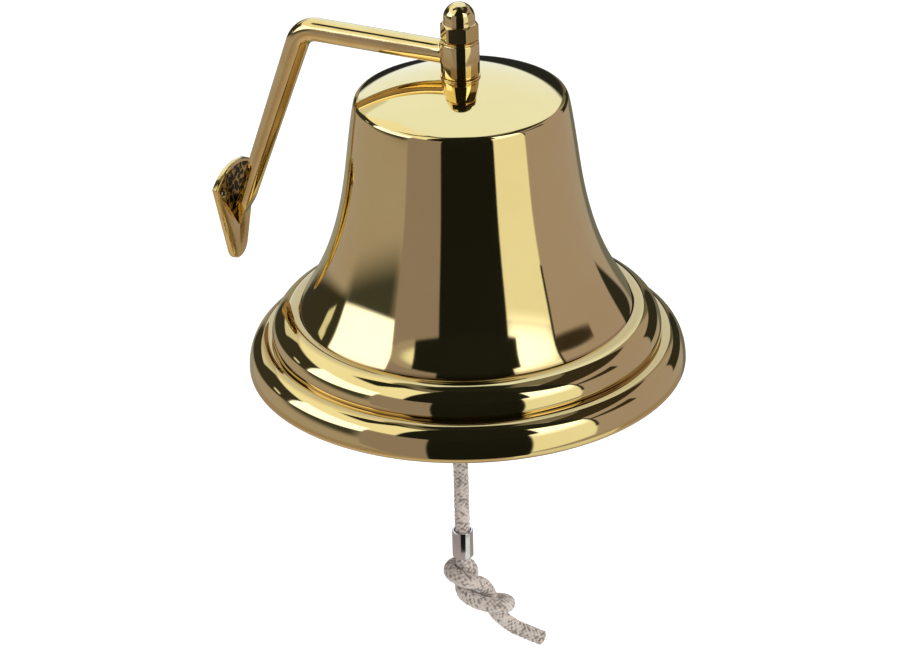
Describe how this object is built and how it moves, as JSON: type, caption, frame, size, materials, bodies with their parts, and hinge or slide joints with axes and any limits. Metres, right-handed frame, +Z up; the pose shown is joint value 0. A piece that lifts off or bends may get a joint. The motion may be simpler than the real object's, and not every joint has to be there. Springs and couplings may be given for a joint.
{
  "type": "ship bell",
  "caption": "Wall-hung brass bell with a flared, double-beaded mouth on a bent bar bracket, with a swinging clapper and a short knotted lanyard.",
  "frame": {"origin": "middle of the wall plate's back face, where it meets the wall", "axes": "+X out of the wall towards the bell, +Z up, +Y completes the right-handed frame; the bell hangs on a vertical axis 127 mm from the wall"},
  "size_m": [0.232, 0.21, 0.3453],
  "materials": {
    "bell_brass": "mirror polish",
    "nut_brass": "turned and polished",
    "bracket_brass": "polished",
    "plate_brass": "polished, with an unpolished pocket",
    "clapper_brass": "satin, dulled",
    "steel": "zinc plated",
    "fibre": "matt",
    "cord_braid": "braided, matt",
    "ferrule_chrome": "bright"
  },
  "bodies": {
    "bracket": {"wall_plate": "plate_brass", "bracket_bar": "bracket_brass", "bracket_eye": "bracket_brass"},
    "bell": {"bell_shell": "bell_brass", "suspension_stud": "steel", "cap_nut": "nut_brass", "cap_nut_washer": "nut_brass", "seat_washer": "nut_brass", "crown_fibre_washer": "fibre", "crown_inner_washer": "steel", "stud_lock_nut": "steel", "clapper_pin": "steel", "pin_split_pin": "steel"},
    "clapper": {"clapper_rod": "clapper_brass", "clapper_ball": "clapper_brass", "ball_lock_nut": "clapper_brass", "clapper_tail_eye": "clapper_brass"},
    "lanyard": {"cord": "cord_braid", "cord_ferrule": "ferrule_chrome"},
    "lanyard_end": {"cord_end_knot": "cord_braid"}
  },
  "joints": [
    {"name": "bell_turn", "type": "hinge", "parent": "bracket", "child": "bell", "pos_m": [0.127, 0, 0.1045], "axis": [0, 0, 1], "continuous": true},
    {"name": "clapper_swing", "type": "hinge", "parent": "bell", "child": "clapper", "pos_m": [0.127, 0, 0.052], "axis": [1, 0, 0], "range_deg": [-35.3, 35.3]},
    {"name": "lanyard_swing", "type": "hinge", "parent": "clapper", "child": "lanyard", "pos_m": [0.127, 0, -0.09], "axis": [1, 0, 0], "range_deg": [-40, 40]},
    {"name": "lanyard_end_bend", "type": "hinge", "parent": "lanyard", "child": "lanyard_end", "pos_m": [0.12165, 0, -0.1686], "axis": [-0.4656, 0.885, 0], "range_deg": [-25, 25], "stiffness_Nm_per_rad": 0.03}
  ]
}
